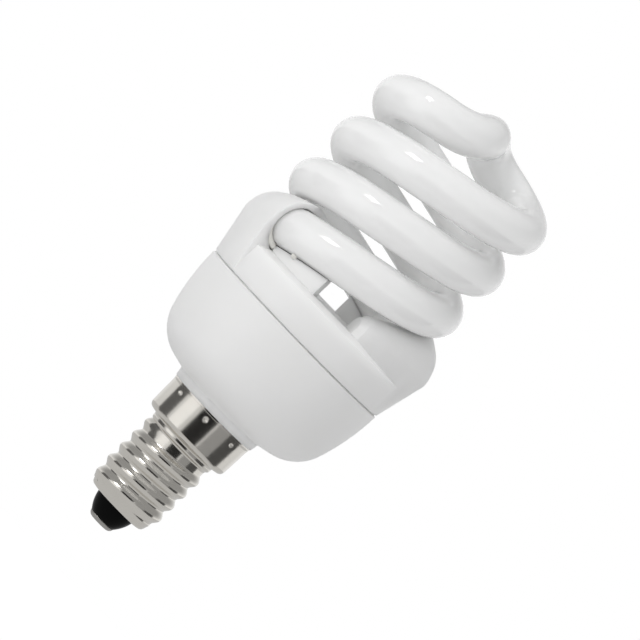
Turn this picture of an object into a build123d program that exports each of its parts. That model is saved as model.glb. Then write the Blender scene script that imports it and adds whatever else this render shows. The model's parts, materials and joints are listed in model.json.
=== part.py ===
from build123d import *
from math import cos, radians, sin, sqrt
import os

os.makedirs("parts", exist_ok=True)

# Compact fluorescent lamp with a small screw cap and a double spiral tube.
# Millimetres. The origin is the tip of the centre contact, and +Z runs up the lamp's axis.
# The first horn reaches furthest towards -X. Angles about the axis count from +X, seen from above.

# Spiral tube
tube_r = 3.8
winding_lead = 19.36
last_lobe_turns = 1.5
tube_foot_deg = 4.0
bridge_start_deg = 30.0
bridge_rise = 4.95
bridge_half = 6.0
bridge_lean = 1.2
bridge_fall = 1.1
glass_shift = 0.8

# Screw cap
sheet = 0.3
cap_foot_z = 4.0
cap_hole_r = 3.95
thread_root_r = 6.15
thread_depth = 0.75
thread_pitch = 2.822
thread_start_z = 5.9
thread_start_deg = 150.0
thread_turns = 4.25
ridge_half = 1.15
collar_r = 6.65
collar_z = 18.8
shoulder_z = 20.7
skirt_foot_r = 8.45
skirt_top_r = 8.65
skirt_top_z = 26.3
dimple_count = 8
dimple_z = 24.9
dimple_r = 1.0
dimple_depth = 0.2
crimp_depth = 0.3

# Contact and insulator
contact_r = 2.5
contact_flat_r = 1.6
contact_t = 0.75
lead_bore_r = 0.7
insulator_bulge = 0.25
insulator_top_z = 6.9

# Lower housing
housing_wall = 1.5
neck_clearance = 0.1
neck_foot_z = 21.2
rim_r = 9.05
rim_top_z = 27.8
turn_r = 11.6
turn_z = 28.4
side_z = 33.9
side_step = 1.7
bowl_r = 19.15
seam_z = 45.1
groove_depth = 0.45
groove_half = 0.25

# Upper cover
band_step = 0.05
band_top_z = 51.1
bevel_w = 2.6
top_z = 52.0
plate_t = 1.6
plug_clearance = 0.12
plug_depth = 0.85
plug_wall = 1.2

# Horns and cradles
winding_inset = 4.0
horn_rise = 2.8
hole_clearance = 0.95
horn_wall = 1.2
horn_skin = 0.95
horn_drop = 0.5
horn_tail_deg = 62.0
nose_deg = 4.0
nose_draw = 0.9
tail_draw = 2.3
horn_mouth_deg = 40.0
mouth_floor_deg = 14.0
cradle_deg = 41.0
cradle_in = 2.8
cradle_out = 1.3
trough_clearance = 0.3
cement_start_deg = 12.0
cement_deg = 14.0
seat_gap = 0.03

# Circuit board and its fixings
board_edge = 0.65
board_t = 1.6
board_gap = 0.05
ledge_w = 2.0
ledge_h = 4.0
ledge_reach = 1.2
ledge_deg = 20.0
wire_r = 0.3
flat_lead = 0.5
pin_r = 0.45
pin_h = 4.4
pin_ring_r = 14.4
pin_spacing = 2.0
pin_deg = 150.0
lead_ring_r = 5.95
lead_r = 0.4

side_r = bowl_r - side_step
band_r = bowl_r - band_step
top_r = band_r - bevel_w
winding_r = band_r - winding_inset
horn_z = top_z + horn_rise
hole_r = tube_r + hole_clearance
horn_r = hole_r + horn_wall
horn_inner_r = winding_r - horn_r
horn_outer_r = winding_r + horn_r
flare_out = winding_r + horn_r - band_r
flare_up = horn_z - horn_drop - seam_z - groove_half
skirt_inner_r = skirt_foot_r - sheet
neck_r = skirt_inner_r - neck_clearance
housing_inner_r = bowl_r - housing_wall
board_r = housing_inner_r - board_edge
plug_r = housing_inner_r - plug_clearance
board_top_z = seam_z - plug_depth - board_gap
board_z = board_top_z - board_t


def height_at(angle):
    """Height of the tube's centre at an angle about the axis. At 180 it stands in the first horn."""
    return horn_z + winding_lead * (angle - 180) / 360


def helix_run(first, last, drop=0.0, shift=0.0):
    """Stretch of the winding from one angle to another, lowered by drop and moved to -X by shift."""
    stretch = Helix(
        pitch=winding_lead,
        height=height_at(last) - height_at(first),
        radius=winding_r,
        center=(-shift, 0, height_at(first) - drop),
        mode=Mode.PRIVATE,
    )
    return stretch.rotate(Axis((-shift, 0, 0), (0, 0, 1)), first)


def radial_plane(angle, drop=0.0, shift=0.0):
    """Upright plane through the axis, centred on the winding, with x outwards and y up."""
    outward = Vector(cos(radians(angle)), sin(radians(angle)), 0)
    along = Vector(-sin(radians(angle)), cos(radians(angle)), 0)
    centre = outward * winding_r + Vector(-shift, 0, height_at(angle) - drop)
    return Plane(origin=centre, x_dir=outward, z_dir=-along)


def arc_joint(start, start_dir, end, end_dir):
    """Point where two arcs of equal tangent length meet, from one pose to another in space."""
    span = end - start
    a = 2 * (1 - start_dir.dot(end_dir))
    b = 2 * span.dot(start_dir + end_dir)
    c = -span.dot(span)
    reach = (-b + sqrt(b * b - 4 * a * c)) / (2 * a)
    return (start + start_dir * reach + end - end_dir * reach) * 0.5


# Spiral tube: two strands, each a stretch of helix, joined by an S of arcs over the axis
first_angle = 180 + tube_foot_deg
last_angle = 180 + 360 * last_lobe_turns + bridge_start_deg
strand = helix_run(first_angle, last_angle, shift=glass_shift)
crossing = Vector(-glass_shift, 0, height_at(last_angle) + bridge_rise)
crossing_dir = Vector(0, -1, 0)
neck = crossing + Vector(bridge_lean, bridge_half, -bridge_fall)
neck_chord = (crossing - neck).normalized()
neck_dir = neck_chord * (2 * neck_chord.dot(crossing_dir)) - crossing_dir
joint = arc_joint(strand @ 1, strand % 1, neck, neck_dir)
winding_axis = Axis((-glass_shift, 0, 0), (0, 0, 1))

with BuildPart() as half_tube:
    with BuildLine() as turns:
        add(strand)
    with BuildSketch(Plane(origin=strand @ 0, z_dir=strand % 0)):
        Circle(tube_r)
    sweep(path=turns.line, is_frenet=True)
    with BuildLine() as half_bridge:
        rise = TangentArc(strand @ 1, joint, tangent=strand % 1)
        turn_in = TangentArc(joint, neck, tangent=rise % 1)
        TangentArc(neck, crossing, tangent=turn_in % 1)
    with BuildSketch(Plane(origin=strand @ 1, z_dir=strand % 1)):
        Circle(tube_r)
    sweep(path=half_bridge.line)
    with Locations(Location(Plane(origin=strand @ 0, z_dir=-(strand % 0)))):
        Sphere(tube_r, arc_size1=0)

with BuildPart() as spiral_tube:
    add(half_tube.part)
    add(half_tube.part.rotate(winding_axis, 180))

spiral_tube.part.label = "spiral_tube"
export_step(spiral_tube.part, "parts/spiral_tube.step")


# Cap shell: thin sheet with a rolled round thread, a shoulder, a skirt and crimp dimples
def ridge_section(root_r, crest_r, half):
    """Round thread section on the winding plane of the shell, from one foot over the crest to the other."""
    with BuildSketch(Plane.XZ) as section:
        with BuildLine():
            Line((root_r, -half), (root_r, half))
            ThreePointArc((root_r, half), (crest_r, 0), (root_r, -half))
        make_face()
    return section.sketch


def thread_sweep(root_r, crest_r, half):
    """One helical rib of the thread, at its own start angle and height."""
    with BuildPart() as rib:
        with BuildLine() as path:
            Helix(pitch=thread_pitch, height=thread_pitch * thread_turns, radius=thread_root_r)
        add(ridge_section(root_r, crest_r, half))
        sweep(path=path.line, is_frenet=True)
    return rib.part.rotate(Axis.Z, thread_start_deg).translate((0, 0, thread_start_z))


thread_rib = thread_sweep(thread_root_r - sheet / 2, thread_root_r + thread_depth, ridge_half)
thread_groove = thread_sweep(
    thread_root_r - 1.2 * sheet, thread_root_r + thread_depth - sheet, ridge_half - 0.6 * sheet
)
thread_top_z = thread_start_z + thread_pitch * thread_turns

with BuildPart() as cap_shell:
    with BuildSketch(Plane.XZ):
        with BuildLine():
            foot = Line((cap_hole_r, cap_foot_z), (thread_root_r - 0.9, cap_foot_z))
            Polyline(
                foot @ 1,
                (thread_root_r - 0.45, cap_foot_z + 0.25),
                (thread_root_r - 0.2, cap_foot_z + 0.8),
                (thread_root_r, thread_start_z - 0.4),
                (thread_root_r, collar_z - 0.4),
                (collar_r, collar_z),
                (collar_r, collar_z + 0.7),
            )
            flare = Line((collar_r, collar_z + 0.7), (collar_r + 0.95, collar_z + 0.95))
            shoulder = TangentArc(flare @ 1, (skirt_foot_r, shoulder_z), tangent=flare % 1)
            Line(shoulder @ 1, (skirt_top_r, skirt_top_z))
            offset(amount=sheet, side=Side.LEFT)
        make_face()
    revolve(axis=Axis.Z)
    add(thread_rib)
    add(thread_groove, mode=Mode.SUBTRACT)
    with PolarLocations(skirt_top_r + dimple_r - dimple_depth, dimple_count, start_angle=-90):
        with Locations((0, 0, dimple_z)):
            Sphere(dimple_r, mode=Mode.SUBTRACT)
    split(bisect_by=Plane.XY.offset(skirt_top_z), keep=Keep.BOTTOM)

cap_shell.part.label = "cap_shell"
export_step(cap_shell.part, "parts/cap_shell.step")

# Cap insulator: black cone with a groove that the shell's foot is cast into
with BuildPart() as cap_insulator:
    with BuildSketch(Plane.XZ):
        with BuildLine():
            Polyline((lead_bore_r, insulator_top_z), (lead_bore_r, contact_t), (contact_r - 0.05, contact_t))
            ThreePointArc(
                (contact_r - 0.05, contact_t),
                ((contact_r + cap_hole_r) / 2 + insulator_bulge, (contact_t + cap_foot_z) / 2),
                (cap_hole_r, cap_foot_z),
            )
            Polyline(
                (cap_hole_r, cap_foot_z),
                (cap_hole_r, cap_foot_z + sheet),
                (thread_root_r - 1.2, cap_foot_z + sheet),
                (thread_root_r - 1.2, cap_foot_z + 4 * sheet),
                (lead_bore_r + 1.4, insulator_top_z),
                (lead_bore_r, insulator_top_z),
            )
        make_face()
    revolve(axis=Axis.Z)

cap_insulator.part.label = "cap_insulator"
export_step(cap_insulator.part, "parts/cap_insulator.step")

# Centre contact: pressed disc with a flat tip and a rounded edge
with BuildPart() as centre_contact:
    with BuildSketch(Plane.XZ):
        with BuildLine():
            Line((0, 0), (contact_flat_r, 0))
            TangentArc((contact_flat_r, 0), (contact_r, contact_t), tangent=(1, 0))
            Polyline((contact_r, contact_t), (0, contact_t), (0, 0))
        make_face()
    revolve(axis=Axis.Z)

centre_contact.part.label = "centre_contact"
export_step(centre_contact.part, "parts/centre_contact.step")

# Solder that ties the centre lead to the contact, inside the insulator's bore
with BuildPart() as contact_solder:
    with Locations((0, 0, contact_t)):
        Cylinder(lead_bore_r, 2 * lead_r, align=(Align.CENTER, Align.CENTER, Align.MIN))
        Cylinder(lead_r, 2 * lead_r, align=(Align.CENTER, Align.CENTER, Align.MIN), mode=Mode.SUBTRACT)

contact_solder.part.label = "contact_solder"
export_step(contact_solder.part, "parts/contact_solder.step")

# Lower housing: moulded bowl with a neck that goes into the skirt, and four ledges for the board
with BuildSketch(Plane.XZ) as bowl:
    with BuildLine():
        Polyline(
            (0, neck_foot_z),
            (neck_r, neck_foot_z),
            (neck_r, skirt_top_z),
            (skirt_top_r + 0.15, skirt_top_z),
            (rim_r, rim_top_z),
        )
        bottom = Line((rim_r, rim_top_z), (turn_r, turn_z))
        turn = TangentArc(bottom @ 1, (side_r, side_z), tangent=bottom % 1)
        side = TangentArc(turn @ 1, (bowl_r, seam_z - groove_half), tangent=turn % 1)
        Polyline(side @ 1, (bowl_r - groove_depth, seam_z), (0, seam_z), (0, neck_foot_z))
    make_face()

with BuildPart() as housing_hollow:
    with BuildSketch(Plane.XZ):
        add(bowl.sketch)
        offset(amount=-housing_wall, kind=Kind.INTERSECTION)
        with Locations((0, neck_foot_z)):
            Rectangle(neck_r - housing_wall, seam_z - neck_foot_z, align=(Align.MIN, Align.MIN))
        with Locations((0, seam_z)):
            Rectangle(housing_inner_r, 2 * housing_wall, align=(Align.MIN, Align.MAX))
    revolve(axis=Axis.Z)
    with PolarLocations(board_r - ledge_reach, 4, start_angle=ledge_deg):
        with Locations((0, 0, board_z)):
            Box(
                bowl_r - board_r + ledge_reach,
                ledge_w,
                ledge_h,
                align=(Align.MIN, Align.CENTER, Align.MAX),
                mode=Mode.SUBTRACT,
            )

with BuildPart() as lower_housing:
    add(bowl.sketch)
    revolve(axis=Axis.Z)
    add(housing_hollow.part, mode=Mode.SUBTRACT)
    with BuildSketch(Plane.XZ):
        with Locations((neck_r, dimple_z)):
            Rectangle(2 * crimp_depth, 2 * dimple_r)
    revolve(axis=Axis.Z, mode=Mode.SUBTRACT)

lower_housing.part.label = "lower_housing"
export_step(lower_housing.part, "parts/lower_housing.step")


# Horns of the upper cover: each follows the tube's helix and flares out of the band below it
def flared_limit(inset):
    """Solid of revolution that holds the horns' outer wall, drawn in by inset."""
    with BuildPart() as limit:
        with BuildSketch(Plane.XZ):
            with BuildLine():
                Polyline(
                    (0, seam_z + groove_half + inset),
                    (band_r - inset, seam_z + groove_half + inset),
                    (band_r + 3 * flare_out - inset, seam_z + groove_half + 3 * flare_up + inset),
                    (0, seam_z + groove_half + 3 * flare_up + inset),
                    (0, seam_z + groove_half + inset),
                )
            make_face()
        revolve(axis=Axis.Z)
    return limit.part


# Each row: degrees from the horn's middle, reach towards the axis, reach outwards, and how far the crown is lowered
horn_rows = [
    (-horn_tail_deg - nose_deg, horn_inner_r + tail_draw + nose_draw, top_r - nose_draw, 2 * nose_draw),
    (-horn_tail_deg, horn_inner_r + tail_draw, top_r, nose_draw),
    (-0.8 * horn_tail_deg, horn_inner_r + 0.7 * tail_draw, top_r + 0.3 * bevel_w, 0.3 * nose_draw),
    (-0.6 * horn_tail_deg, horn_inner_r + 0.4 * tail_draw, top_r + 0.6 * bevel_w, 0),
    (-0.4 * horn_tail_deg, horn_inner_r + 0.1 * tail_draw, top_r + 0.9 * bevel_w, 0),
    (-0.25 * horn_tail_deg, horn_inner_r, band_r + 0.1 * flare_out, 0),
    (-0.15 * horn_tail_deg, horn_inner_r, band_r + 0.5 * flare_out, 0),
    (-0.06 * horn_tail_deg, horn_inner_r, horn_outer_r, 0),
    (0.2 * horn_mouth_deg, horn_inner_r, horn_outer_r, 0),
    (0.5 * horn_mouth_deg, horn_inner_r, horn_outer_r, 0),
    (0.75 * horn_mouth_deg, horn_inner_r, horn_outer_r, 0),
    (horn_mouth_deg, horn_inner_r, horn_outer_r, 0),
]


def horn_section(row, inset):
    """Arch on the upright plane of one row: a round crown on straight sides that go down to the seam."""
    turn, inner, outer, lowered = row
    crown = height_at(180 + turn) - horn_drop + horn_r - lowered - inset
    half = (outer - inner) / 2 - inset
    middle = (outer + inner) / 2
    floor = seam_z + groove_half + inset - 1
    outward = Vector(cos(radians(180 + turn)), sin(radians(180 + turn)), 0)
    along = Vector(-sin(radians(180 + turn)), cos(radians(180 + turn)), 0)
    with BuildSketch(Plane(origin=(0, 0, 0), x_dir=outward, z_dir=-along)) as section:
        with BuildLine():
            Line((middle - half, crown - half), (middle - half, floor))
            Line((middle - half, floor), (middle + half, floor))
            Line((middle + half, floor), (middle + half, crown - half))
            ThreePointArc((middle + half, crown - half), (middle, crown), (middle - half, crown - half))
        make_face()
    return section.sketch


def horn_body(rows, inset):
    """Arched body through the rows' sections, inside the flared limit."""
    with BuildPart() as body:
        loft([horn_section(row, inset) for row in rows], ruled=True)
        add(flared_limit(inset), mode=Mode.INTERSECT)
    return body.part


def cradle_body():
    """Low curved wall on the cover's top, from the horn's mouth to where it ends below the first turn."""
    foot_z = top_z - 0.8 * plate_t
    with BuildPart() as body:
        with BuildSketch(Plane.XZ):
            with Locations((winding_r - cradle_in, foot_z)):
                Rectangle(cradle_in + cradle_out, horn_z + 1 - foot_z, align=(Align.MIN, Align.MIN))
        revolve(axis=Axis.Z, revolution_arc=cradle_deg + 2)
    return body.part.rotate(Axis.Z, 180 + horn_mouth_deg - 2)


def hole_body(radius, drop, first, last, shift=0.0):
    """Round bore that the tube goes through, or the trough it lies in when it is moved with the tube."""
    with BuildPart() as body:
        with BuildLine() as path:
            add(helix_run(first, last, drop=drop, shift=shift))
        with BuildSketch(radial_plane(first, drop, shift)):
            Circle(radius)
        sweep(path=path.line, is_frenet=True)
    return body.part


horn_last = 180 + horn_mouth_deg
horn = horn_body(horn_rows, 0)
tail_row = (horn_rows[1][0] + nose_deg, *horn_rows[1][1:])
floor_row = (horn_mouth_deg - mouth_floor_deg, *horn_rows[-1][1:])
horn_hollow = horn_body([tail_row, *horn_rows[2:10], floor_row], horn_skin)
cradle = cradle_body()
bore = hole_body(hole_r, horn_drop, 180, horn_last + 1)
trough = hole_body(tube_r + trough_clearance, 0, horn_last - 2, horn_last + cradle_deg + 5, shift=glass_shift)

with BuildPart() as upper_cover:
    with BuildSketch(Plane.XZ):
        with BuildLine():
            Polyline(
                (0, seam_z),
                (band_r - groove_depth, seam_z),
                (band_r, seam_z + groove_half),
                (band_r, band_top_z),
                (top_r, top_z),
                (0, top_z),
                (0, seam_z),
            )
        make_face()
        with Locations((0, seam_z)):
            Rectangle(plug_r, plug_depth, align=(Align.MIN, Align.MAX))
    revolve(axis=Axis.Z)
    for half_turn in (0, 180):
        add(horn.rotate(Axis.Z, half_turn))
        add(cradle.rotate(Axis.Z, half_turn))
    with BuildSketch(Plane.XZ):
        with BuildLine():
            Polyline(
                (0, seam_z - plug_depth),
                (plug_r - plug_wall, seam_z - plug_depth),
                (plug_r - plug_wall, seam_z + 1),
                (housing_inner_r, seam_z + 2),
                (housing_inner_r, band_top_z - plate_t),
                (top_r, top_z - plate_t),
                (0, top_z - plate_t),
                (0, seam_z - plug_depth),
            )
        make_face()
    revolve(axis=Axis.Z, mode=Mode.SUBTRACT)
    for half_turn in (0, 180):
        add(horn_hollow.rotate(Axis.Z, half_turn), mode=Mode.SUBTRACT)
        add(bore.rotate(Axis.Z, half_turn), mode=Mode.SUBTRACT)
        add(trough.rotate(winding_axis, half_turn), mode=Mode.SUBTRACT)

upper_cover.part.label = "upper_cover"
export_step(upper_cover.part, "parts/upper_cover.step")

# Cement that holds each end of the tube in its horn
cement_first = 180 + cement_start_deg
cement_ring = hole_body(hole_r - seat_gap, horn_drop, cement_first, cement_first + cement_deg)

with BuildPart() as cement_left:
    add(cement_ring)
    add(spiral_tube.part, mode=Mode.SUBTRACT)

cement_left.part.label = "cement_left"
export_step(cement_left.part, "parts/cement_left.step")

with BuildPart() as cement_right:
    add(cement_ring.rotate(Axis.Z, 180))
    add(spiral_tube.part, mode=Mode.SUBTRACT)

cement_right.part.label = "cement_right"
export_step(cement_right.part, "parts/cement_right.step")

# Circuit board, on the ledges of the lower housing
with BuildPart() as circuit_board:
    with Locations((0, 0, board_z)):
        Cylinder(board_r, board_t, align=(Align.CENTER, Align.CENTER, Align.MIN))

circuit_board.part.label = "circuit_board"
export_step(circuit_board.part, "parts/circuit_board.step")

# Bulk capacitor: can with a rolled groove, hanging from the board into the neck
can_r = 5.0
can_length = 16.5
can_gap = 0.3
can_lead_x = 1.25
can_top_z = board_z - can_gap

with BuildPart() as bulk_capacitor:
    with Locations((0, 0, can_top_z)):
        Cylinder(can_r, can_length, align=(Align.CENTER, Align.CENTER, Align.MAX))
    with BuildSketch(Plane.XZ):
        with Locations((can_r, can_top_z - 2)):
            Polygon((0, 0.6), (-0.5, 0), (0, -0.6), align=None)
    revolve(axis=Axis.Z, mode=Mode.SUBTRACT)
    with Locations((can_lead_x, 0, can_top_z), (-can_lead_x, 0, can_top_z)):
        Cylinder(wire_r, can_gap, align=(Align.CENTER, Align.CENTER, Align.MIN))

bulk_capacitor.part.label = "bulk_capacitor"
export_step(bulk_capacitor.part, "parts/bulk_capacitor.step")

# Ballast choke: bobbin with a base against the board, core halves round it, and the winding
choke_x = 10.3
choke_core = (5.0, 11.0, 8.6)
choke_leg = 1.8
choke_post = 3.0
choke_base = (8.0, 11.4, 1.0)
bobbin_wall = 0.4
choke_fit = 0.05
winding_over_x = 7.4
choke_top_z = board_z - choke_base[2]
choke_mid_z = choke_top_z - choke_core[2] / 2
window_h = choke_core[2] - 2 * choke_leg
window_w = (choke_core[1] - choke_post) / 2 - choke_leg
sleeve_x = choke_core[0] + 2 * (bobbin_wall + choke_fit)
sleeve_y = choke_post + 2 * (bobbin_wall + choke_fit)

with BuildPart() as core_part:
    with Locations((choke_x, 0, choke_mid_z)):
        Box(*choke_core)
        with GridLocations(0, choke_post + window_w, 1, 2):
            Box(choke_core[0], window_w, window_h, mode=Mode.SUBTRACT)

core_part.part.label = "choke_core"
export_step(core_part.part, "parts/choke_core.step")

with BuildPart() as choke_bobbin:
    with Locations((choke_x, 0, board_z)):
        Box(*choke_base, align=(Align.CENTER, Align.CENTER, Align.MAX))
    with Locations((choke_x, 0, choke_mid_z)):
        Box(sleeve_x, sleeve_y, window_h)
        Box(choke_core[0] + 2 * choke_fit, choke_post + 2 * choke_fit, window_h, mode=Mode.SUBTRACT)
    cheek = (choke_core[0] / 2 + choke_fit, choke_core[0] / 2 + choke_fit + bobbin_wall)
    with Locations((choke_x + cheek[0], 0, choke_top_z), (choke_x - cheek[1], 0, choke_top_z)):
        Box(bobbin_wall, sleeve_y, choke_leg, align=(Align.MIN, Align.CENTER, Align.MAX))

choke_bobbin.part.label = "choke_bobbin"
export_step(choke_bobbin.part, "parts/choke_bobbin.step")

with BuildPart() as choke_winding:
    with Locations((choke_x, 0, choke_mid_z)):
        Box(winding_over_x, choke_post + 2 * window_w - 2 * choke_fit, window_h - 2 * choke_fit)
        Box(sleeve_x, sleeve_y, window_h, mode=Mode.SUBTRACT)

choke_winding.part.label = "choke_winding"
export_step(choke_winding.part, "parts/choke_winding.step")

# Ring transformer: ferrite ring with three short windings, lying against the board
ring_x = -10.4
ring_outer_r = 4.2
ring_inner_r = 2.2
ring_h = 3.0
ring_wire = 0.4
ring_span_deg = 60.0
ring_mid_z = board_z - ring_wire - ring_h / 2

with BuildPart() as ring_core:
    with Locations((ring_x, 0, ring_mid_z)):
        Cylinder(ring_outer_r, ring_h)
        Cylinder(ring_inner_r, ring_h, mode=Mode.SUBTRACT)

ring_core.part.label = "ring_core"
export_step(ring_core.part, "parts/ring_core.step")

with BuildPart() as ring_windings:
    with Locations((ring_x, 0, ring_mid_z)):
        for angle in (30, 150, 270):
            Cylinder(
                ring_outer_r + ring_wire,
                ring_h + 2 * ring_wire,
                arc_size=ring_span_deg,
                rotation=(0, 0, angle),
                align=(Align.NONE, Align.NONE, Align.CENTER),
            )
        Cylinder(ring_inner_r - ring_wire, ring_h + 2 * ring_wire, mode=Mode.SUBTRACT)
    add(ring_core.part, mode=Mode.SUBTRACT)

ring_windings.part.label = "ring_windings"
export_step(ring_windings.part, "parts/ring_windings.step")


# Parts that hang from the board
def boxed_part(size, x, y, stand, lead_x):
    """Moulded body below the board on two straight leads."""
    with Locations((x, y, board_z - stand)):
        Box(*size, align=(Align.CENTER, Align.CENTER, Align.MAX))
        with Locations((lead_x, 0, 0), (-lead_x, 0, 0)):
            Box(flat_lead, flat_lead, stand, align=(Align.CENTER, Align.CENTER, Align.MIN))


def axial_part(radius, length, x, y, angle, reach):
    """Round body lying under the board, its two leads bent up to it."""
    with Locations(Location((x, y, board_z - radius), (0, 0, angle))):
        Cylinder(radius, length, rotation=(0, 90, 0))
        Box(length + 2 * reach, flat_lead, flat_lead)
        with Locations((length / 2 + reach, 0, 0), (-length / 2 - reach, 0, 0)):
            Box(flat_lead, flat_lead, radius, align=(Align.CENTER, Align.CENTER, Align.MIN))


with BuildPart() as transistors:
    for x in (-5.2, 0.2):
        boxed_part((4.6, 3.6, 4.8), x, 9.6, 0.8, 1.3)

transistors.part.label = "transistors"
export_step(transistors.part, "parts/transistors.step")

with BuildPart() as rectifier_diodes:
    for x in (-3.4, 3.4):
        for y in (-7.9, -10.6):
            axial_part(1.2, 4.0, x, y, 0, 0.8)

rectifier_diodes.part.label = "rectifier_diodes"
export_step(rectifier_diodes.part, "parts/rectifier_diodes.step")

# Input choke: drum core with a winding in its waist
drum_y = -14.0
drum_r = 2.1
drum_h = 5.6
drum_flange = 0.8
drum_waist_r = 1.0

with BuildPart() as drum_core:
    with Locations((0, drum_y, board_z)):
        Cylinder(drum_waist_r, drum_h, align=(Align.CENTER, Align.CENTER, Align.MAX))
        Cylinder(drum_r, drum_flange, align=(Align.CENTER, Align.CENTER, Align.MAX))
        with Locations((0, 0, -drum_h)):
            Cylinder(drum_r, drum_flange, align=(Align.CENTER, Align.CENTER, Align.MIN))

drum_core.part.label = "drum_core"
export_step(drum_core.part, "parts/drum_core.step")

with BuildPart() as drum_winding:
    with Locations((0, drum_y, board_z - drum_h / 2)):
        Cylinder(drum_r - 0.2, drum_h - 2 * drum_flange)
        Cylinder(drum_waist_r, drum_h - 2 * drum_flange, mode=Mode.SUBTRACT)

drum_winding.part.label = "drum_winding"
export_step(drum_winding.part, "parts/drum_winding.step")

with BuildPart() as fuse_resistor:
    axial_part(1.3, 6.0, -10.0, -8.9, -47, 0.8)

fuse_resistor.part.label = "fuse_resistor"
export_step(fuse_resistor.part, "parts/fuse_resistor.step")

with BuildPart() as resonance_capacitor:
    boxed_part((3.4, 5.0, 6.5), 5.2, 10.2, 0.5, 1.0)

resonance_capacitor.part.label = "resonance_capacitor"
export_step(resonance_capacitor.part, "parts/resonance_capacitor.step")

with BuildPart() as filter_capacitor:
    boxed_part((7.0, 2.6, 5.0), -1.2, 13.4, 0.5, 2.5)

filter_capacitor.part.label = "filter_capacitor"
export_step(filter_capacitor.part, "parts/filter_capacitor.step")

with BuildPart() as start_capacitor:
    boxed_part((3.0, 3.0, 4.0), 10.2, 9.0, 0.5, 0.9)

start_capacitor.part.label = "start_capacitor"
export_step(start_capacitor.part, "parts/start_capacitor.step")

with BuildPart() as resistors:
    axial_part(0.8, 3.2, 9.0, -7.6, 0, 0.7)
    axial_part(0.8, 3.2, 9.0, -9.6, 0, 0.7)
    axial_part(0.8, 3.2, 5.6, -13.4, 0, 0.7)

resistors.part.label = "resistors"
export_step(resistors.part, "parts/resistors.step")

with BuildPart() as trigger_diode:
    axial_part(0.9, 3.0, 9.0, -11.5, 0, 0.7)

trigger_diode.part.label = "trigger_diode"
export_step(trigger_diode.part, "parts/trigger_diode.step")

# Thermistor: upright disc on two leads
with BuildPart() as thermistor:
    with Locations((-10.0, 9.2, board_z - 0.8)):
        with Locations((0, 0, -1.9)):
            Cylinder(1.9, 1.4, rotation=(90, 0, 0))
        with Locations((0.9, 0, -0.8), (-0.9, 0, -0.8)):
            Cylinder(wire_r, 1.6, align=(Align.CENTER, Align.CENTER, Align.MIN))

thermistor.part.label = "thermistor"
export_step(thermistor.part, "parts/thermistor.step")

# Wrap pins on the board's upper side, two below each horn's tail
with BuildPart() as wrap_pins:
    for radius in (pin_ring_r - pin_spacing / 2, pin_ring_r + pin_spacing / 2):
        with PolarLocations(radius, 2, start_angle=pin_deg):
            with Locations((0, 0, board_top_z)):
                Cylinder(pin_r, pin_h, align=(Align.CENTER, Align.CENTER, Align.MIN))

wrap_pins.part.label = "wrap_pins"
export_step(wrap_pins.part, "parts/wrap_pins.step")


# Filament leads: from each sealed tube end down to its two pins
def lead_between(start, end, radius):
    """Straight wire of round section from one point to another."""
    with BuildPart() as wire:
        with BuildSketch(Plane(origin=start, z_dir=end - start)):
            Circle(radius)
        extrude(amount=(end - start).length)
    return wire.part


def filament_lead(tube_end, back, pin_side, half_turn):
    """Lead from inside the tube's domed end to the top of the inner or outer pin."""
    angle = radians(pin_deg + half_turn)
    outward = Vector(cos(angle), sin(angle), 0)
    pin = outward * (pin_ring_r + pin_side * pin_spacing / 2)
    start = tube_end + back * (0.6 * tube_r) + outward * (pin_side * pin_spacing / 2)
    return lead_between(start, Vector(pin.X, pin.Y, board_top_z + pin_h), wire_r)


left_end = strand @ 0
left_back = strand % 0 * -1
right_end = Vector(-2 * glass_shift - left_end.X, -left_end.Y, left_end.Z)
right_back = Vector(-left_back.X, -left_back.Y, left_back.Z)

with BuildPart() as filament_leads:
    for pin_side in (-1, 1):
        add(filament_lead(left_end, left_back, pin_side, 0))
        add(filament_lead(right_end, right_back, pin_side, 180))
    add(spiral_tube.part, mode=Mode.SUBTRACT)
    add(wrap_pins.part, mode=Mode.SUBTRACT)

filament_leads.part.label = "filament_leads"
export_step(filament_leads.part, "parts/filament_leads.step")


# Wires to the cap, with mitred corners
def mitred_wire(points, radius):
    """Wire of round section along straight runs."""
    with BuildPart() as wire:
        with BuildLine() as path:
            route = Polyline(*points)
        with BuildSketch(Plane(origin=route @ 0, z_dir=route % 0)):
            Circle(radius)
        sweep(path=path.line, transition=Transition.RIGHT)
    return wire.part


# Centre lead: insulated wire past the capacitor and down the axis to the contact
centre_route = [
    (0, lead_ring_r, board_z),
    (0, lead_ring_r, neck_foot_z - 0.5),
    (0, 0, insulator_top_z + 2.5),
    (0, 0, contact_t),
]

with BuildPart() as centre_lead:
    add(mitred_wire(centre_route, lead_r))

centre_lead.part.label = "centre_lead"
export_step(centre_lead.part, "parts/centre_lead.step")

# Side lead: bare wire out under the neck's foot to the shell's shoulder
side_route = [
    (0, -lead_ring_r, board_z),
    (0, -lead_ring_r, neck_foot_z - 0.8),
    (0, -skirt_foot_r, neck_foot_z - 0.8),
]

with BuildPart() as side_lead:
    add(mitred_wire(side_route, wire_r))
    add(cap_shell.part, mode=Mode.SUBTRACT)
    inner_piece = side_lead.solids().sort_by(SortBy.VOLUME)[-1]
    add(inner_piece, mode=Mode.REPLACE)

side_lead.part.label = "side_lead"
export_step(side_lead.part, "parts/side_lead.step")
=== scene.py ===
import json
from contextlib import contextmanager
from math import atan2, cos, degrees, pi, radians, sin, sqrt, tan

import bpy
from mathutils import Matrix, Vector


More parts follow.
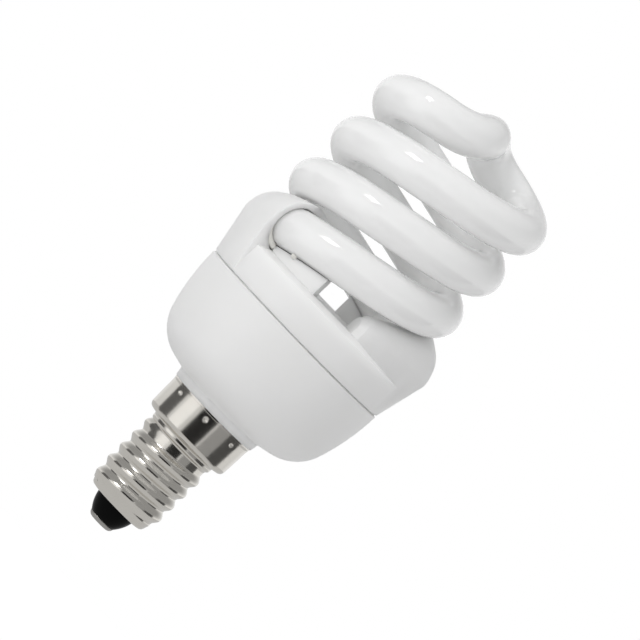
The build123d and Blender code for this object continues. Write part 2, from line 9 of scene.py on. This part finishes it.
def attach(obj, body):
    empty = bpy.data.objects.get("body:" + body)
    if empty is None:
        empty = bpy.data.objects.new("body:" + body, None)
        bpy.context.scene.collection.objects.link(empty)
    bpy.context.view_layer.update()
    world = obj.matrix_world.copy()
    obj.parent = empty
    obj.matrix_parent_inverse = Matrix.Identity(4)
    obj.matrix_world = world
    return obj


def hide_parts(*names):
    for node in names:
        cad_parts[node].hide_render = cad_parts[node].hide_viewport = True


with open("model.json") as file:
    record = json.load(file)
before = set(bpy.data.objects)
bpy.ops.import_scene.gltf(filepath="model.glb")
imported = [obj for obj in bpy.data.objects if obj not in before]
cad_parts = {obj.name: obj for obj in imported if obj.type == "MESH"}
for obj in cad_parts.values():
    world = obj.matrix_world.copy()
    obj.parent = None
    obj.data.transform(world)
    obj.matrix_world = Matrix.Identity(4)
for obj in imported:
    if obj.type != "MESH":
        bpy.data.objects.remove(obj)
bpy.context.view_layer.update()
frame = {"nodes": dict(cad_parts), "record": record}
nodes = frame["nodes"]
bpy.ops.object.select_all(action="DESELECT")

MM = 0.001

# Spiral tube, in millimetres and degrees, after the solid model, but leaning a little in its cover
TUBE_R = 3.8
WINDING_R = 15.1
WINDING_LEAD = 19.36
HORN_Z = 54.8
TUBE_FOOT_DEG = 4.0
HORN_MOUTH_DEG = 40.0
LAST_LOBE_TURNS = 1.5
BRIDGE_START_DEG = 30.0
BRIDGE_RISE = 4.95
BRIDGE_HALF = 6.0
BRIDGE_LEAN = 1.2
BRIDGE_FALL = 1.1
GLASS_SHIFT = 0.85
GLASS_LEAN = 0.011
STRAND_STEPS = 20
FOOT_SHARES = (1.0, 0.97, 0.87, 0.7, 0.45)
FOOT_HANDLE = 0.2
FOOT_TIP = 0.0002

# Cap shell, in millimetres and degrees: radius and height along its sheet, thread and crimp dimples
CAP_PROFILE = [
    (3.95, 4.0), (5.1, 4.0), (5.45, 4.08), (5.72, 4.3), (5.9, 4.7), (6.0, 5.1), (6.15, 5.5),
    (6.15, 18.2), (6.22, 18.42), (6.5, 18.66), (6.62, 18.85), (6.65, 19.1), (6.65, 19.4),
    (6.72, 19.56), (6.9, 19.66), (7.45, 19.72), (7.85, 19.82), (8.15, 20.0), (8.35, 20.3),
    (8.45, 20.7), (8.62, 25.85), (8.68, 26.1), (8.65, 26.3),
]
CAP_SPACING = 0.14
CAP_STEPS = 168
SHEET = 0.28
THREAD_ROOT_R = 6.15
THREAD_DEPTH = 0.75
THREAD_PITCH = 2.822
THREAD_START_Z = 5.9
THREAD_START_DEG = 150.0
THREAD_TURNS = 4.25
THREAD_FADE_DEG = 60
THREAD_BAND = (4.9, 19.5)
SKIRT_R = 8.55
DIMPLE_COUNT = 8
DIMPLE_Z = 24.9
DIMPLE_BAND = 1.2
DIMPLE_R, DIMPLE_PRESS = 0.9, 0.16
PRICK_R, PRICK_PRESS = 0.3, 0.22

# Cement in the mouths, in millimetres and degrees along the helix: a bead, and a drop further along
BEAD_R = 4.3
BEAD_HALF = 0.52
BEAD_BACK_DEG = 2
DROP_R = 0.5
DROP_ON_DEG = 21
DROP_GAP = 0.1
DROP_OUT = 0.9

# Mending of meshes, in metres and degrees
WELD = 0.002 * MM
SLIVER = 0.001 * MM
FLAT_DEG = 0.5
MOULD_EDGE_DEG = 32

# Camera, at the photograph's viewing angle: level with the lamp, and rolled so that the lamp lies aslant
VIEW_ELEVATION = 1.44
VIEW_ROLL = 46.1
VIEW_CENTRE = Vector((1.25, 0.0, 49.55)) * MM
VIEW_DISTANCE = 0.9
VIEW_WIDTH = 0.1056
SENSOR_WIDTH = 36

# Stage, in metres, and each card that the cap mirrors: bearing in degrees, width in millimetres, brightness
FLOOR_SIZE = 2.4
FLOOR_Z = -0.12
CARD_DISTANCE = 0.12
CARD_HEIGHT = 0.09
CARD_MIDDLE_Z = 0.015
CARDS = ((-87, 80, 0.12), (-45, 66, 1.1), (3, 97, 0.02), (47, 71, 0.34), (84, 88, 0.08))
WORLD_STRENGTH = 0.58

# Soft light inside the spiral: heights in millimetres, power in watts, radius in metres
GLOW_HEIGHTS = (61, 72, 83)
GLOW_POWER = 0.0003
GLOW_R = 8 * MM


def placed(name, data):
    """New object in the scene."""
    thing = bpy.data.objects.new(name, data)
    bpy.context.scene.collection.objects.link(thing)
    return thing


def place_camera():
    """Long lens at the photograph's angle."""
    data = bpy.data.cameras.new("camera")
    camera = placed("camera", data)
    lift, roll = radians(VIEW_ELEVATION), radians(VIEW_ROLL)
    look = Vector((0, cos(lift), -sin(lift)))
    right, up = Vector((1, 0, 0)), Vector((0, sin(lift), cos(lift)))
    across = right * cos(roll) + up * sin(roll)
    above = up * cos(roll) - right * sin(roll)
    turn = Matrix((across, above, -look)).transposed().to_4x4()
    camera.matrix_world = Matrix.Translation(VIEW_CENTRE - look * VIEW_DISTANCE) @ turn
    data.sensor_width = SENSOR_WIDTH
    data.lens = SENSOR_WIDTH * VIEW_DISTANCE / VIEW_WIDTH
    data.clip_start, data.clip_end = 0.05, 20
    bpy.context.scene.camera = camera


place_camera()
bpy.context.scene.view_settings.view_transform = "Standard"


# Materials
class Socket:
    """Output socket whose arithmetic adds Math nodes."""

    def __init__(self, finish, out):
        self.finish, self.out = finish, out

    def math(self, operation, a, b):
        return self.finish.node("ShaderNodeMath", {"operation": operation}, {0: a, 1: b})

    def __add__(self, other):
        return self.math("ADD", self, other)

    def __sub__(self, other):
        return self.math("SUBTRACT", self, other)

    def __rsub__(self, other):
        return self.math("SUBTRACT", other, self)

    def __mul__(self, other):
        return self.math("MULTIPLY", self, other)


class Finish:
    """Nodes of a material, or of the surroundings, with one method that makes every node."""

    def __init__(self, name, owners=bpy.data.materials, output="ShaderNodeOutputMaterial"):
        self.owner = owners.new(name)
        self.owner.use_nodes = True
        self.tree = self.owner.node_tree
        self.tree.nodes.clear()
        self.output = self.tree.nodes.new(output)

    def node(self, kind, settings=None, inputs=None, output=0):
        made = self.tree.nodes.new(kind)
        for key, value in (settings or {}).items():
            setattr(made, key, value)
        for key, value in (inputs or {}).items():
            if isinstance(value, Socket):
                self.tree.links.new(value.out, made.inputs[key])
            else:
                made.inputs[key].default_value = value
        return Socket(self, made.outputs[output])

    def surface(self, shader):
        self.tree.links.new(shader.out, self.output.inputs["Surface"])
        return self.owner

    def noise(self, grains, detail=2.0, stretch=(1, 1, 1)):
        """Noise with so many grains to a millimetre, coarser along an axis with a smaller stretch."""
        place = self.node("ShaderNodeTexCoord", output="Object")
        scale = [share / MM for share in stretch]
        scaled = self.node("ShaderNodeVectorMath", {"operation": "MULTIPLY"}, {0: place, 1: scale})
        inputs = {"Vector": scaled, "Scale": grains, "Detail": detail}
        return self.node("ShaderNodeTexNoise", inputs=inputs)

    def height(self):
        """Height up the lamp in millimetres."""
        place = self.node("ShaderNodeTexCoord", output="Object")
        return self.node("ShaderNodeSeparateXYZ", inputs={0: place}, output=2) * (1 / MM)

    def tone(self, share, first, second):
        """Colour between two, by share. Sockets 6 and 7 and output 2 are the Mix node's colours."""
        inputs = {0: share, 6: [*first, 1], 7: [*second, 1]}
        return self.node("ShaderNodeMix", {"data_type": "RGBA"}, inputs, output=2)

    def relief(self, height, depth):
        """Normal of a surface whose height varies by depth, in millimetres."""
        inputs = {"Strength": 1.0, "Distance": depth * MM, "Height": height}
        return self.node("ShaderNodeBump", inputs=inputs)

    def finished(self, colour, roughness, normal, **constants):
        """Principled surface. The constants are its other sockets, underscores standing for spaces."""
        inputs = {"Base Color": colour, "Roughness": roughness, "Normal": normal}
        inputs.update({name.replace("_", " "): value for name, value in constants.items()})
        return self.surface(self.node("ShaderNodeBsdfPrincipled", inputs=inputs))

    def glow(self, strength):
        """White light of this strength."""
        return self.node("ShaderNodeEmission", inputs={"Color": (1, 1, 1, 1), "Strength": strength})


def shaded(colour, factor):
    return [channel * factor for channel in colour]


def moulded(name, colour, roughness, depth=0.004, contrast=0.02, **constants):
    """Moulded plastic: faint flow marks in the colour and a fine, even grain in the surface."""
    finish = Finish(name)
    flow, grain = finish.noise(0.12), finish.noise(2.2)
    tone = finish.tone(flow, shaded(colour, 1 - contrast), colour)
    sheen = grain * 0.08 + (roughness - 0.04)
    return finish.finished(tone, sheen, finish.relief(grain, depth), **constants)


def milky(depth):
    """Sockets of a white body that lets light spread so many millimetres deep."""
    return {"Subsurface_Weight": 1.0, "Subsurface_Radius": (1, 1, 1), "Subsurface_Scale": depth * MM}


def coated_glass():
    """Clear glass over a white powder coating, with the powder's faint patches."""
    finish = Finish("tube_white")
    patches, draw = finish.noise(0.22, 4.0), finish.noise(0.35)
    tone = finish.tone(patches, (0.9, 0.905, 0.905), (0.93, 0.93, 0.925))
    constants = {"Coat_Weight": 0.5, "Coat_Roughness": 0.02, **milky(4.0)}
    return finish.finished(tone, draw * 0.02 + 0.04, finish.relief(draw, 0.002), **constants)


def plated(name, colour, roughness, lines=8.0, depth=0.0015):
    """Plated sheet with faint clouds and fine lines round the axis, left by the rollers."""
    finish = Finish(name)
    drawn = finish.noise(lines, 3.0, (0.03, 0.03, 1))
    cloud = finish.noise(0.4)
    tone = finish.tone(cloud, shaded(colour, 0.93), colour)
    sheen = drawn * 0.1 + (roughness - 0.05)
    return finish.finished(tone, sheen, finish.relief(drawn, depth), Metallic=1.0)


def cast(name, colour, roughness, grains, depth, contrast=0.25, metallic=0.0):
    """Cast, sintered or set material with grains in its colour and its surface."""
    finish = Finish(name)
    grain = finish.noise(grains, 5.0)
    tone = finish.tone(grain, shaded(colour, 1 - contrast), shaded(colour, 1 + contrast / 3))
    sheen = grain * 0.15 + (roughness - 0.07)
    return finish.finished(tone, sheen, finish.relief(grain, depth), Metallic=metallic)


def dipped(name, colour, roughness):
    """Dipped lacquer, thicker in soft waves."""
    finish = Finish(name)
    wave = finish.noise(0.7)
    tone = finish.tone(wave, shaded(colour, 0.75), colour)
    return finish.finished(tone, wave * 0.1 + (roughness - 0.05), finish.relief(wave, 0.05))


def laminate():
    """Bare board: pale brown with long fibres."""
    finish = Finish("board")
    fibres, patches = finish.noise(3.0, 4.0, (0.15, 1, 1)), finish.noise(0.3)
    tone = finish.tone(fibres * 0.6 + patches * 0.4, (0.6, 0.47, 0.27), (0.76, 0.65, 0.43))
    return finish.finished(tone, fibres * 0.15 + 0.5, finish.relief(fibres, 0.01))


def wound(name, colour, turns):
    """Enamelled wire, with so many turns to a millimetre up the lamp, and painted shade darkening the
    grooves between the turns.
    """
    finish = Finish(name)
    phase = finish.height() * (2 * pi * turns)
    ripple = finish.node("ShaderNodeMath", {"operation": "SINE"}, {0: phase})
    groove_and_painted_shade = ripple * 0.5 + 0.5
    # Painted shade: the colour darkens to 0.55 of the copper in the grooves between the turns
    tone = finish.tone(groove_and_painted_shade, shaded(colour, 0.55), colour)
    return finish.finished(tone, groove_and_painted_shade * -0.1 + 0.35, finish.relief(groove_and_painted_shade, 0.08), Metallic=1.0)


# Finish of each material slot of the record
slots = {
    "cap_metal": plated("nickel", (0.75, 0.725, 0.675), 0.17),
    "cap_insulator": moulded("black_glass", (0.003,) * 3, 0.22, depth=0.002, Specular_IOR_Level=0.05),
    "contact_metal": plated("dull_plate", (0.46, 0.45, 0.43), 0.4),
    "solder": cast("solder", (0.6, 0.6, 0.6), 0.3, 1.2, 0.03, contrast=0.1, metallic=1.0),
    "housing_plastic": moulded("white_plastic", (0.93, 0.93, 0.922), 0.4, **milky(1.5)),
    "tube_glass": coated_glass(),
    "cement": cast("cement", (0.85, 0.84, 0.8), 0.85, 1.6, 0.08, contrast=0.12),
    "board": laminate(),
    "capacitor_sleeve": dipped("capacitor_sleeve", (0.05, 0.06, 0.09), 0.25),
    "ferrite": cast("ferrite", (0.1, 0.1, 0.1), 0.5, 4.0, 0.02),
    "bobbin": moulded("bobbin", (0.12, 0.12, 0.12), 0.5),
    "copper_wire": wound("copper_wire", (0.62, 0.33, 0.16), 3.5),
    "epoxy_black": moulded("epoxy_black", (0.04, 0.04, 0.04), 0.55, depth=0.01, contrast=0.2),
    "film_body": dipped("film_body", (0.45, 0.12, 0.08), 0.22),
    "resistor_body": cast("resistor_body", (0.75, 0.66, 0.5), 0.4, 0.8, 0.02, contrast=0.1),
    "thermistor_body": cast("thermistor_body", (0.1, 0.25, 0.12), 0.45, 1.5, 0.03),
    "tinned_wire": cast("tinned_wire", (0.68, 0.68, 0.68), 0.28, 2.5, 0.01, contrast=0.15, metallic=1.0),
    "insulated_wire": moulded("insulated_wire", (0.8, 0.8, 0.78), 0.5),
}
for part in frame["record"]["subparts"]:
    mesh = nodes[part["node"]].data
    mesh.materials.clear()
    mesh.materials.append(slots[part["material_slot"]])


# Modelling helpers
def deselect():
    bpy.ops.object.select_all(action="DESELECT")


def activate(piece):
    deselect()
    piece.select_set(True)
    bpy.context.view_layer.objects.active = piece


@contextmanager
def edited(piece):
    """Edit mode on a piece, with all of its mesh selected."""
    activate(piece)
    bpy.ops.object.mode_set(mode="EDIT")
    bpy.ops.mesh.select_all(action="SELECT")
    yield
    bpy.ops.object.mode_set(mode="OBJECT")


def weld():
    """In edit mode: joins the doubled points of what is selected and turns its faces outwards."""
    bpy.ops.mesh.remove_doubles(threshold=WELD)
    bpy.ops.mesh.normals_make_consistent(inside=False)


def apply_modifier(piece, name, kind, **settings):
    """Adds a modifier and applies it."""
    activate(piece)
    modifier = piece.modifiers.new(name, kind)
    for key, value in settings.items():
        setattr(modifier, key, value)
    bpy.ops.object.modifier_apply(modifier=modifier.name)


def smooth_by_angle(piece, degrees_limit):
    activate(piece)
    bpy.ops.object.shade_smooth_by_angle(angle=radians(degrees_limit))


def merged_copy(node_name, name):
    """Copy of a solid's mesh with its loose triangles welded."""
    piece = placed(name, nodes[node_name].data.copy())
    with edited(piece):
        bpy.ops.mesh.remove_doubles(threshold=WELD)
        bpy.ops.mesh.dissolve_degenerate(threshold=SLIVER)
    return piece


def hand_in(piece, node_name, slot):
    """Puts a finished piece in its solid's place."""
    piece.data.materials.clear()
    piece.data.materials.append(slots[slot])
    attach(piece, "root")
    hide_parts(node_name)


# Spiral tube: one curve along both strands and the bridge
def glass_axis(height):
    """Middle of the winding at a height, for glass that sits a little askew in its cover."""
    return Vector((-GLASS_SHIFT - GLASS_LEAN * (height - HORN_Z), 0, height))


def helix_knot(angle, half_turn, step):
    """Knot of the winding at an angle, with handles that follow the helix."""
    turn = radians(angle + half_turn)
    rise = HORN_Z + WINDING_LEAD * (angle - 180) / 360
    outward = Vector((cos(turn), sin(turn), 0))
    along = Vector((-sin(turn), cos(turn), 0))
    place = outward * WINDING_R + glass_axis(rise)
    level = along * (4 / 3 * tan(radians(step) / 4) * WINDING_R)
    return place, level + Vector((0, 0, WINDING_LEAD * step / 360 / 3))


def arc_joint(start, start_dir, end, end_dir):
    """Point where two arcs of equal tangent length meet."""
    span = end - start
    a = 2 * (1 - start_dir.dot(end_dir))
    b = 2 * span.dot(start_dir + end_dir)
    c = -span.dot(span)
    reach = (-b + sqrt(b * b - 4 * a * c)) / (2 * a)
    middle = (start + start_dir * reach + end - end_dir * reach) * 0.5
    return middle, (end - end_dir * reach - start - start_dir * reach).normalized()


def arc_handle(start, start_dir, end):
    """Handle length that makes a curve from start to end follow an arc."""
    chord = end - start
    half = chord.angle(start_dir)
    return 4 / 3 * tan(half / 2) * chord.length / (2 * sin(half))


def strand_knots(half_turn):
    """Knots of one strand from its sealed end on, the crossing after them and the handle length there.

    A knot is its place, its handle back, its handle on and its share of the tube's radius.
    """
    first, last = 180 + TUBE_FOOT_DEG, 180 + 360 * LAST_LOBE_TURNS + BRIDGE_START_DEG
    step = (last - first) / STRAND_STEPS
    knots = []
    foot, foot_reach = helix_knot(first, half_turn, step)
    back = -foot_reach.normalized()
    for share in FOOT_SHARES:
        place = foot + back * (TUBE_R * share)
        narrowing = sqrt(max(1 - share * share, FOOT_TIP))
        knots.append((place, back * FOOT_HANDLE, back * -FOOT_HANDLE, narrowing))
    for index in range(STRAND_STEPS + 1):
        place, reach = helix_knot(first + index * step, half_turn, step)
        knots.append((place, -reach, reach, 1.0))
    end, reach = helix_knot(last, half_turn, step)
    end_dir = reach.normalized()
    flip = -1 if half_turn else 1
    crossing = glass_axis(HORN_Z + WINDING_LEAD * (last - 180) / 360 + BRIDGE_RISE)
    crossing_dir = Vector((0, -flip, 0))
    neck = crossing + Vector((BRIDGE_LEAN * flip, BRIDGE_HALF * flip, -BRIDGE_FALL))
    chord = (crossing - neck).normalized()
    neck_dir = chord * (2 * chord.dot(crossing_dir)) - crossing_dir
    joint, joint_dir = arc_joint(end, end_dir, neck, neck_dir)
    first_arc = arc_handle(end, end_dir, joint)
    second_arc = arc_handle(joint, joint_dir, neck)
    last_arc = arc_handle(neck, neck_dir, crossing)
    knots[-1] = (end, -reach, end_dir * first_arc, 1.0)
    knots.append((joint, -joint_dir * first_arc, joint_dir * second_arc, 1.0))
    knots.append((neck, -neck_dir * second_arc, neck_dir * last_arc, 1.0))
    return knots, crossing, last_arc


def spiral_tube():
    """Glass tube as one curve with a round section, turned into a mesh."""
    near, crossing, reach = strand_knots(0)
    far, _, _ = strand_knots(180)
    middle = (crossing, Vector((0, reach, 0)), Vector((0, -reach, 0)), 1.0)
    knots = near + [middle] + [(place, on, back, radius) for place, back, on, radius in reversed(far)]
    data = bpy.data.curves.new("spiral_tube_glass", "CURVE")
    data.dimensions = "3D"
    data.resolution_u = 12
    data.bevel_depth = TUBE_R * MM
    data.bevel_resolution = 10
    data.use_fill_caps = True
    spline = data.splines.new("BEZIER")
    spline.bezier_points.add(len(knots) - 1)
    for point, (place, back, on, radius) in zip(spline.bezier_points, knots):
        point.handle_left_type = point.handle_right_type = "FREE"
        point.co = place * MM
        point.handle_left = (place + back) * MM
        point.handle_right = (place + on) * MM
        point.radius = radius
    activate(placed("spiral_tube_glass", data))
    bpy.ops.object.convert(target="MESH")
    piece = bpy.context.object
    with edited(piece):
        weld()
    smooth_by_angle(piece, 60)
    hand_in(piece, "spiral_tube", "tube_glass")


# Turned pieces
def lathe(name, profile, steps):
    """Turns an open profile of radius and height about the axis."""
    deselect()
    bpy.ops.mesh.primitive_plane_add(size=0.1 * MM)
    piece = bpy.context.object
    piece.name = name
    places = [Vector((radius, 0, height)) * MM for radius, height in profile]
    with edited(piece):
        bpy.ops.mesh.merge(type="CENTER")
        bpy.ops.transform.translate(value=places[0])
        for here, there in zip(places, places[1:]):
            bpy.ops.mesh.extrude_region_move(TRANSFORM_OT_translate={"value": there - here})
        bpy.ops.mesh.select_all(action="SELECT")
        bpy.ops.mesh.spin(steps=steps, angle=2 * pi, center=(0, 0, 0), axis=(0, 0, 1))
        bpy.ops.mesh.select_all(action="SELECT")
        weld()
    return piece


def filled(profile, spacing):
    """Same profile with no stretch longer than spacing."""
    points = [profile[0]]
    for (radius, height), (next_radius, next_height) in zip(profile, profile[1:]):
        out, rise = next_radius - radius, next_height - height
        count = max(1, round(sqrt(out**2 + rise**2) / spacing))
        for index in range(1, count + 1):
            share = index / count
            points.append((radius + out * share, height + rise * share))
    return points


# Cap shell: turned from sheet, then its thread is pressed out and its crimp dimples in
def eased(value):
    """Smooth step from 0 to 1."""
    value = min(max(value, 0), 1)
    return value * value * (3 - 2 * value)


def thread_height(angle, height):
    """How far the rolled thread stands out at an angle in degrees and a height."""
    best = 0.0
    full_run = 360 * THREAD_TURNS
    for turn in range(int(THREAD_TURNS) + 2):
        run = angle - THREAD_START_DEG + 360 * turn
        if run < 0 or run > full_run:
            continue
        off = abs(height - THREAD_START_Z - THREAD_PITCH * run / 360)
        if off < THREAD_PITCH / 2:
            fade = eased(run / THREAD_FADE_DEG) * eased((full_run - run) / THREAD_FADE_DEG)
            wave = 0.5 + 0.5 * cos(2 * pi * off / THREAD_PITCH)
            best = max(best, THREAD_DEPTH * fade * wave**0.8)
    return best


def dimple_depth(angle, height):
    """How far the sheet is pressed in by the crimp dimples, each with a pricked middle."""
    step = 360 / DIMPLE_COUNT
    off = (angle + 90 + step / 2) % step - step / 2
    away = sqrt((radians(off) * SKIRT_R) ** 2 + (height - DIMPLE_Z) ** 2)
    return DIMPLE_PRESS * eased(1 - away / DIMPLE_R) + PRICK_PRESS * eased(1 - away / PRICK_R)


def cap_shell():
    """Turned sheet with the thread and the dimples pressed into it."""
    piece = lathe("cap_shell_pressed", filled(CAP_PROFILE, CAP_SPACING), CAP_STEPS)
    for vertex in piece.data.vertices:
        place = vertex.co / MM
        radius, angle = sqrt(place.x**2 + place.y**2), degrees(atan2(place.y, place.x)) % 360
        out = 0.0
        if THREAD_BAND[0] < place.z < THREAD_BAND[1]:
            ridge = thread_height(angle, place.z)
            if ridge:
                out = max(0.0, THREAD_ROOT_R + ridge - radius)
        elif abs(place.z - DIMPLE_Z) < DIMPLE_BAND:
            out = -dimple_depth(angle, place.z)
        # Moved out along its radius, or in where out is below zero
        vertex.co = (place * MM).lerp(Vector((0, 0, place.z * MM)), -out / radius)
    apply_modifier(piece, "sheet", "SOLIDIFY", thickness=SHEET * MM, offset=-1)
    smooth_by_angle(piece, 50)
    hand_in(piece, "cap_shell", "cap_metal")


def smooth_copy(node_name, name, slot):
    """Welded copy with smooth faces."""
    piece = merged_copy(node_name, name)
    smooth_by_angle(piece, 35)
    hand_in(piece, node_name, slot)


def softened_copy(node_name, name, slot, width):
    """Moulded part: a welded copy with its sharp edges rounded."""
    piece = merged_copy(node_name, name)
    with edited(piece):
        bpy.ops.mesh.dissolve_limited(angle_limit=radians(FLAT_DEG))
    apply_modifier(
        piece, "edges", "BEVEL", width=width * MM, segments=3, limit_method="ANGLE",
        angle_limit=radians(MOULD_EDGE_DEG), use_clamp_overlap=True, miter_outer="MITER_ARC",
    )
    apply_modifier(piece, "faces", "TRIANGULATE")
    smooth_by_angle(piece, 40)
    hand_in(piece, node_name, slot)


def cement_bead(number, half_turn):
    """Bead of cement round the glass in a mouth, with the drop that was squeezed out below it."""
    angle = 180 + HORN_MOUTH_DEG - BEAD_BACK_DEG
    place, reach = helix_knot(angle, half_turn, 1)
    above_drop, _ = helix_knot(angle + DROP_ON_DEG, half_turn, 1)
    outward = (above_drop - glass_axis(above_drop.z)).normalized()
    drop = above_drop + Vector((0, 0, -TUBE_R - DROP_GAP)) + outward * DROP_OUT
    deselect()
    bpy.ops.mesh.primitive_torus_add(
        major_radius=BEAD_R * MM, minor_radius=BEAD_HALF * MM, major_segments=64, minor_segments=16,
        location=place * MM, rotation=reach.to_track_quat("Z", "Y").to_euler(),
    )
    bead = bpy.context.object
    bead.name = f"cement_bead_{number}"
    bpy.ops.object.transform_apply(location=True, rotation=True, scale=True)
    with edited(bead):
        bpy.ops.mesh.select_all(action="DESELECT")
        bpy.ops.mesh.primitive_uv_sphere_add(
            segments=20, ring_count=12, radius=DROP_R * MM, location=drop * MM
        )
    smooth_by_angle(bead, 60)
    bead.data.materials.append(slots["cement"])
    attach(bead, "root")


spiral_tube()
cement_bead(1, 0)
cement_bead(2, 180)
cap_shell()
smooth_copy("cap_insulator", "cap_insulator_cone", "cap_insulator")
smooth_copy("centre_contact", "centre_contact_disc", "contact_metal")
softened_copy("upper_cover", "upper_cover_moulding", "housing_plastic", 0.35)
softened_copy("lower_housing", "lower_housing_moulding", "housing_plastic", 0.2)


# Floor, surroundings, lamps and the cards that the cap mirrors
def stage_plane(name, size, location, rotation, material):
    deselect()
    bpy.ops.mesh.primitive_plane_add(size=size, location=location, rotation=rotation)
    plane = bpy.context.object
    plane.name = name
    plane.data.materials.append(material)
    return plane


def paper_white():
    """Pale paper that stays white to the camera, reflects as grey, and keeps a soft shadow."""
    finish = Finish("paper_white")
    camera = finish.node("ShaderNodeLightPath", output="Is Camera Ray")
    glossy = finish.node("ShaderNodeLightPath", output="Is Glossy Ray")
    paper = finish.node("ShaderNodeBsdfDiffuse", inputs={"Color": (0.9, 0.9, 0.9, 1)})
    mix = {0: (camera + glossy) * 0.85, 1: paper, 2: finish.glow(camera * 1.1 + glossy * 0.6)}
    return finish.surface(finish.node("ShaderNodeMixShader", inputs=mix))


def card_paint(name, brightness):
    """One even brightness, for a card that the metal mirrors."""
    finish = Finish(name)
    return finish.surface(finish.glow(brightness))


def world_light(strength):
    """Surroundings: full white to the camera, a bright band with grey above and below in reflections."""
    studio = Finish("studio", bpy.data.worlds, "ShaderNodeOutputWorld")
    direction = studio.node("ShaderNodeTexCoord", output="Generated")
    rise = studio.node("ShaderNodeSeparateXYZ", inputs={0: direction}, output=2)
    away = studio.node("ShaderNodeMath", {"operation": "ABSOLUTE"}, {0: rise})
    # Strength 0.9 up to a rise of 0.1, down to 0.35 from a rise of 0.5
    band = studio.node("ShaderNodeMapRange", inputs={0: away, 1: 0.1, 2: 0.5, 3: 0.9, 4: 0.35})
    camera = studio.node("ShaderNodeLightPath", output="Is Camera Ray")
    glossy = studio.node("ShaderNodeLightPath", output="Is Glossy Ray")
    level = camera + glossy * band + (1 - camera - glossy) * strength
    backdrop = studio.node("ShaderNodeBackground", inputs={"Color": (1, 1, 1, 1), "Strength": level})
    bpy.context.scene.world = studio.surface(backdrop)


def softbox(name, position, width, height, power, mirrored=True):
    """Rectangular lamp that faces the middle of the bulb, mirrored in it or not."""
    data = bpy.data.lights.new(name, "AREA")
    data.shape = "RECTANGLE"
    data.size, data.size_y, data.energy = width, height, power
    lamp = placed(name, data)
    lamp.location = position
    lamp.visible_glossy = mirrored
    lamp.rotation_mode = "QUATERNION"
    lamp.rotation_quaternion = (VIEW_CENTRE - Vector(position)).to_track_quat("-Z", "Y")


def cap_card(bearing, width, brightness):
    """Low upright card round the cap that shows in reflections only. Bearing 0 is the camera's side."""
    turn = radians(bearing)
    place = (CARD_DISTANCE * sin(turn), -CARD_DISTANCE * cos(turn), CARD_MIDDLE_Z)
    name = f"card_{bearing}".replace("-", "left_")
    card = stage_plane(name, 1.0, place, (pi / 2, 0, turn), card_paint(name, brightness))
    card.scale = (width * MM, CARD_HEIGHT, 1)
    card.visible_camera = card.visible_diffuse = card.visible_shadow = False
    card.visible_transmission = card.visible_volume_scatter = False


def inner_glow(height):
    """Small soft lamp on the bulb's axis, for the light that real glass walls let through to the inside."""
    data = bpy.data.lights.new("inner_glow", "POINT")
    data.energy, data.shadow_soft_size = GLOW_POWER, GLOW_R
    lamp = placed("inner_glow", data)
    lamp.location = (0, 0, height * MM)
    lamp.visible_camera = lamp.visible_glossy = lamp.visible_transmission = False


stage_plane("floor", FLOOR_SIZE, (0, 0, FLOOR_Z), (0, 0, 0), paper_white())
world_light(WORLD_STRENGTH)
softbox("key", (-0.6, -0.5, 0.62), 0.25, 0.25, 1.75)
softbox("fill", (-0.45, -1.0, 0.5), 0.8, 0.8, 2.0, mirrored=False)
softbox("top", (0.3, -0.15, 1.1), 0.6, 0.6, 0.8, mirrored=False)
for height in GLOW_HEIGHTS:
    inner_glow(height)
for bearing, width, brightness in CARDS:
    cap_card(bearing, width, brightness)

bpy.context.view_layer.update()
